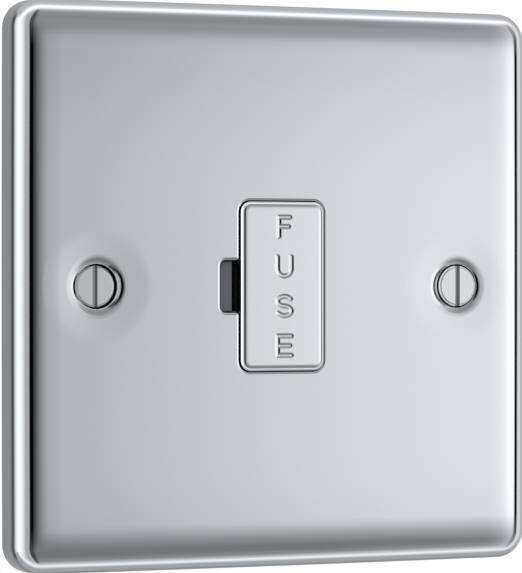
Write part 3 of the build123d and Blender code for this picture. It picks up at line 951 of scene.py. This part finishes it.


# painted shade on the floors of the slots, and on what lies in the dishes under the heads' edges
def screwShade(points):
    x, level = points[:, 0], -points[:, 1]
    rim = fixing["lowest"] + np.where(x < 0, *fixing["backOff"])
    slot = np.abs(np.abs(x) - screwPlaces[1]) < fixing["slotReach"] * fixing["slot"]
    slot &= level > rim - fixing["slotDepth"] / 2
    sunk = (level < rim + fixing["shadeRise"]) & (level > dishFoot)
    return np.where(sunk, np.where(slot, fixing["slotShade"], 1.0), 0.0)


def buildFixingScrews():
    meshes, tips = [], []
    ridge = fixing["thread"]
    slotSize = (fixing["slot"], 2 * fixing["slotDepth"], 3 * screwRim)
    for x, backOff in zip(screwPlaces, fixing["backOff"]):
        start = fixing["lowest"] + backOff
        head = lathe([(radius, start + height) for radius, height in headProfile()], fixing["steps"])
        slotPlace = (0.0, -start - fixing["flat"], 0.0)
        meshes.append(seated(slotted(head, slotSize, slotPlace, "fixingHead", fixing["edge"]), x, 0.0))
        tips.append((x, start - fixing["length"] + ridge, 0.0))
    run = fixing["length"] - fixing["neckLength"] - ridge
    chrome = finishes["screwChrome"]
    meshes.append(threadMesh("fixingThread", tips, fixing["shank"], ridge, fixing["pitch"], run, chrome))
    piece = joined("fixingScrews", meshes, chrome, fixing["smooth"])
    # painted shade in the slots and in the dishes under the heads
    sink(piece.data, screwShade(np.array([v.co for v in piece.data.vertices]) / mm))
    carry(piece, "unit", "fixing_screws")
    print("fixing screws:", len(piece.data.polygons), "faces")


buildFixingScrews()


# screws put in from behind

rearScrews = {
    "terminal_screws": {
        "shank": 1.95, "head": 3.3, "height": 2.2, "pitch": 0.7,
        "columns": (-17.0, 0.0, 17.0), "rows": (-19.0, 19.0)},
    "pillar_screws": {
        "shank": 1.45, "head": 2.6, "height": 1.9, "pitch": 0.5,
        "columns": (-8.5, 8.5), "rows": (-19.0, 19.0)},
    "cover_screws": {
        "shank": 1.1, "head": 2.0, "height": 1.2, "pitch": 0.5,
        "columns": (-21.4, 21.4), "rows": (0.0,)},
}
rearHead = {
    "slot": 0.9,
    "slotShare": 0.55,  # of the head's height
    "round": 0.22,  # rounding of the head's edge
    "roundSteps": 5,
    "inset": 0.5,  # the flat's mesh has a ring this far inside the rounding
    "edge": 0.06,  # width of the broken edges
    "ridge": 0.45,  # of the thread, as a share of its pitch
    "steps": 56,
    "smooth": 35.0,
}


def buildRearScrews(node, size):
    back, tip = boxOf(node)["level"]
    seat = back + size["height"]
    spots = [(x, z) for x in size["columns"] for z in size["rows"]]
    flat = size["head"] - rearHead["round"]
    profile = [(flat - rearHead["inset"], back), (flat, back)]
    addArc(profile, -rearHead["round"], 0.0, math.pi / 2, rearHead["roundSteps"])
    ridge = rearHead["ridge"] * size["pitch"]
    profile += [(size["head"], seat), (size["shank"] - ridge, seat)]
    slotSize = (3 * size["head"], 2 * size["height"] * rearHead["slotShare"], rearHead["slot"])
    shape = lathe(profile, rearHead["steps"])
    master = slotted(shape, slotSize, (0.0, -back, 0.0), node + "Head", rearHead["edge"])
    meshes = [seated(master.copy(), x, z) for x, z in spots]
    starts = [(x, seat, z) for x, z in spots]
    run, steel = tip - seat - ridge, finishes["zincSteel"]
    meshes.append(threadMesh(node + "Thread", starts, size["shank"], ridge, size["pitch"], run, steel))
    piece = joined(node.split("_")[0] + "Screws", meshes, steel, rearHead["smooth"])
    carry(piece, "unit", node)


for node, size in rearScrews.items():
    buildRearScrews(node, size)
print("rear screws made")


# the solids that keep their CAD form, with broken edges

solids = {  # finish, material slot and width of the broken edges
    "base_moulding": ("greyMoulding", "base_grey", 0.18),
    "rear_cover": ("greyCover", "cover_grey", 0.25),
    "carrier_drawer": ("blackMoulding", "drawer_black", 0.12),
    "fuse_barrel": ("fuseCeramic", "fuse_ceramic", 0.06),
    "fuse_cap_upper": ("fuseNickel", "fuse_nickel", 0.15),
    "fuse_cap_lower": ("fuseNickel", "fuse_nickel", 0.15),
    "fuse_element": ("tinnedWire", "fuse_wire", 0.04),
    "supply_fuse_clip": ("springBronze", "clip_bronze", 0.08),
    "load_fuse_clip": ("springBronze", "clip_bronze", 0.08),
    "neutral_link": ("stripBrass", "strip_brass", 0.08),
    "earth_strap_upper": ("stripBrass", "strip_brass", 0.1),
    "earth_strap_lower": ("stripBrass", "strip_brass", 0.1),
}
for side in ("live", "neutral", "earth"):
    for end in ("supply", "load"):
        solids[f"{side}_{end}_terminal"] = ("turnedBrass", "terminal_brass", 0.12)
brokenEdge = {"merge": 0.002, "flat": 1.0, "segments": 2, "angle": 35.0, "smooth": 40.0}
pad = {"level": 4.5, "shade": 0.8}  # painted shade: the base's pad, above this level, lies in the shade of the notch, so it is painted darker


def softened(node, look, slotName, width):
    shape = bmesh.new()
    shape.from_mesh(nodes[node].data)
    bmesh.ops.remove_doubles(shape, verts=shape.verts, dist=brokenEdge["merge"] * mm)
    flat = math.radians(brokenEdge["flat"])
    bmesh.ops.dissolve_limit(shape, angle_limit=flat, verts=shape.verts, edges=shape.edges)
    words = node.split("_")
    name = words[0] + "".join(w.capitalize() for w in words[1:])
    piece = place(name, meshOf(shape, node), finishes[look])
    edge = breakEdges(piece, width * mm, brokenEdge["segments"], brokenEdge["angle"])
    mesh = solved(piece, node)
    piece.modifiers.remove(edge)
    piece.data = mesh
    smoothed(mesh, brokenEdge["smooth"])
    # painted shade of the notch on everything above the pad's level; only finishes with a deep colour show it
    levels = -np.array([v.co.y for v in mesh.vertices]) / mm
    sink(mesh, np.where(levels > pad["level"], pad["shade"], 0.0))
    body = "carrier" if node in frame["record"]["behaviour"]["bodies"]["carrier"] else "unit"
    carry(piece, body, node)


for node, values in solids.items():
    softened(node, *values)
print("mouldings, fuse and brass made")


# stage, light and camera

stage = {
    "floorDrop": 0.30,
    "floorFront": 0.06,
    "floorBack": 0.10,
    "floorHalf": 0.7,
    "floorColour": (0.86, 0.86, 0.86, 1.0),
    "floorRoughness": 0.8,
    "floorInChrome": 0.55,  # how bright chrome sees the floor
}
lamps = {  # place, size and power
    "frontLamp": ((-0.5, -0.8, 0.7), 0.5, 9.0),
    "rearLamp": ((0.5, 0.8, 0.6), 0.5, 9.0),
}
# brightness of the studio round the unit, by degrees to the right of straight ahead
aroundStops = [
    (-180, 0.40), (-155, 0.35), (-128, 0.10), (-113, 0.15), (-102, 0.86), (-88, 1.3), (-66, 1.56), (-42, 1.2),
    (-22, 0.62), (-8, 0.6), (3.4, 0.62), (4.8, 0.0), (10.8, 0.0), (11.6, 0.21), (15.4, 0.62), (20.5, 0.69),
    (25.4, 1.02), (27, 1.09), (33.5, 1.22), (36.4, 1.55), (38.6, 1.58), (40.4, 0.0), (43.6, 0.0),
    (48.5, 0.85), (66, 1.1), (94, 0.66), (180, 0.40),
]
# how much of that light stands as a tall wall there, and not as a low band
tallStops = [
    (-180, 1.0), (3.4, 1.0), (4.6, 0.7), (10.8, 0.7), (12.4, 0.0), (26, 0.0), (34, 0.2), (39, 0.3),
    (40.4, 0.0), (44, 0.0), (48, 1.0), (180, 1.0),
]
# share of the low band and of the tall wall, by degrees above the horizon
bandStops = [
    (-12, 0.0), (-8.5, 0.42), (-5.5, 0.8), (-3.4, 1.0), (1.5, 1.0), (2.6, 0.96), (3.2, 0.88), (5.0, 0.8),
    (7.3, 0.64), (10.3, 0.2), (13, 0.0),
]
wallStops = [(-42, 0.0), (-28, 1.0), (28, 1.0), (42, 0.0)]
# share of the light above and below each of them, and its brightness by degrees over the top
beyondStops = [(-12, 1.0), (-9, 0.45), (-4, 0.0), (4, 0.0), (9, 0.45), (12, 1.0)]
outsideStops = [(-42, 1.0), (-28, 0.0), (28, 0.0), (42, 1.0)]
overStops = [
    (-180, 0.3), (-127, 0.36), (-90, 0.55), (-78, 0.58), (-63, 1.13), (-55, 1.32), (-40, 0.78), (-22, 0.41),
    (-14, 0.26), (14, 0.36), (22, 0.44), (36, 0.74), (46, 1.33), (57, 1.58), (66, 1.4), (75, 0.93), (93, 0.7),
    (136, 0.6), (180, 0.35),
]
rampTop = 2.0  # brightness at the top of a ramp


def ramp(tree, factor, stops, reach):
    node = made(tree, "ShaderNodeValToRGB", {"Fac": factor})
    elements = node.color_ramp.elements
    while len(elements) < len(stops):
        elements.new(0.5)
    for element, (degrees, value) in zip(elements, stops):
        element.position = (degrees + reach) / (2 * reach)
        element.color = (value / rampTop, value / rampTop, value / rampTop, 1.0)
    return node.outputs["Color"]


# white to the camera, and a soft studio to everything else
def buildWorld():
    world = bpy.data.worlds.new("studio")
    bpy.context.scene.world = world
    world.use_nodes = True
    tree = world.node_tree
    tree.nodes.clear()
    spot = made(tree, "ShaderNodeTexCoord", {}, "Generated")
    way = made(tree, "ShaderNodeSeparateXYZ", {"Vector": spot}).outputs
    ahead = maths(tree, "MULTIPLY", way["Y"], -1.0)

    def share(angle, whole):  # an angle as a share of the whole range about zero
        return maths(tree, "ADD", maths(tree, "DIVIDE", angle, whole), 0.5)

    around = share(maths(tree, "ARCTAN2", way["X"], ahead), 2 * math.pi)
    over = share(maths(tree, "ARCTAN2", way["Z"], ahead), 2 * math.pi)
    rise = share(maths(tree, "ARCSINE", way["Z"]), math.pi)
    tall = maths(tree, "MULTIPLY", ramp(tree, around, tallStops, 180), rampTop)

    def chosen(low, high):
        values = {"Factor": tall, "A": ramp(tree, rise, low, 90), "B": ramp(tree, rise, high, 90)}
        return made(tree, "ShaderNodeMix", values, "Result")

    band = maths(tree, "MULTIPLY", ramp(tree, around, aroundStops, 180), chosen(bandStops, wallStops))
    beyond = maths(tree, "MULTIPLY", ramp(tree, over, overStops, 180), chosen(beyondStops, outsideStops))
    glow = maths(tree, "MULTIPLY", maths(tree, "ADD", band, beyond), rampTop * rampTop)
    white = (1.0, 1.0, 1.0, 1.0)
    studio = made(tree, "ShaderNodeBackground", {"Color": white, "Strength": glow}, "Background")
    plain = made(tree, "ShaderNodeBackground", {"Color": white}, "Background")
    seen = made(tree, "ShaderNodeLightPath", {}, "Is Camera Ray")
    made(tree, "ShaderNodeOutputWorld", {"Surface": mixShaders(tree, seen, studio, plain)})


# white to the camera and dimmer to chrome, and a pale floor to all other light
def buildFloor():
    down = -stage["floorDrop"]
    half, near, far = stage["floorHalf"], -stage["floorFront"], stage["floorBack"]
    mesh = bpy.data.meshes.new("floor")
    corners = [(-half, near, down), (half, near, down), (half, far, down), (-half, far, down)]
    mesh.from_pydata(corners, [], [(0, 1, 2, 3)])
    material = bpy.data.materials.new("paleFloor")
    material.use_nodes = True
    tree = material.node_tree
    shader = tree.nodes["Principled BSDF"]
    feed(tree, shader, {"Roughness": stage["floorRoughness"], "Base Color": stage["floorColour"]})
    path = tree.nodes.new("ShaderNodeLightPath").outputs
    plain = maths(tree, "MAXIMUM", path["Is Camera Ray"], path["Is Transmission Ray"])
    seen = maths(tree, "MAXIMUM", plain, path["Is Glossy Ray"])
    dimmed = maths(tree, "MULTIPLY", path["Is Glossy Ray"], stage["floorInChrome"])
    glow = made(tree, "ShaderNodeEmission", {"Strength": maths(tree, "MAXIMUM", plain, dimmed)}, "Emission")
    mixed = mixShaders(tree, seen, shader.outputs["BSDF"], glow)
    feed(tree, tree.nodes["Material Output"], {"Surface": mixed})
    place("floor", mesh, material)


# a turn that looks from a spot to the origin
def facingOrigin(spot):
    return (-spot).to_track_quat("-Z", "Y").to_euler()


def addLamp(name, spot, size, watts):
    light = bpy.data.lights.new(name, "AREA")
    light.shape = "DISK"
    light.size = size
    light.energy = watts
    lamp = added(name, light)
    lamp.location = spot
    lamp.rotation_euler = facingOrigin(Vector(spot))
    lamp.visible_glossy = False


camera = {
    "turn": 24.0,  # degrees to the left of straight ahead
    "rise": 0.18,
    "distance": 524.9,
    "focal": 3394.0,  # in pixels
    "image": (522, 573),
    "originAt": (263.9, 286.1),  # pixel of the frame's origin
    "sensor": 36.0,
    "nearest": 0.01,
}


def buildCamera():
    lens = bpy.data.cameras.new("camera")
    wide, tall = camera["image"]
    lens.sensor_width = camera["sensor"]
    lens.lens = camera["focal"] / max(wide, tall) * camera["sensor"]
    lens.shift_x = (wide / 2 - camera["originAt"][0]) / max(wide, tall)
    lens.shift_y = (camera["originAt"][1] - tall / 2) / max(wide, tall)
    lens.clip_start = camera["nearest"]
    turn, rise = math.radians(camera["turn"]), math.radians(camera["rise"])
    way = Vector((-math.sin(turn) * math.cos(rise), -math.cos(turn) * math.cos(rise), math.sin(rise)))
    eye = added("camera", lens)
    eye.location = way * (camera["distance"] * mm)
    eye.rotation_euler = facingOrigin(eye.location)
    bpy.context.scene.camera = eye


buildWorld()
buildFloor()
for name, lamp in lamps.items():
    addLamp(name, *lamp)
buildCamera()
bpy.context.scene.view_settings.view_transform = "Standard"
print("stage, light and camera set")
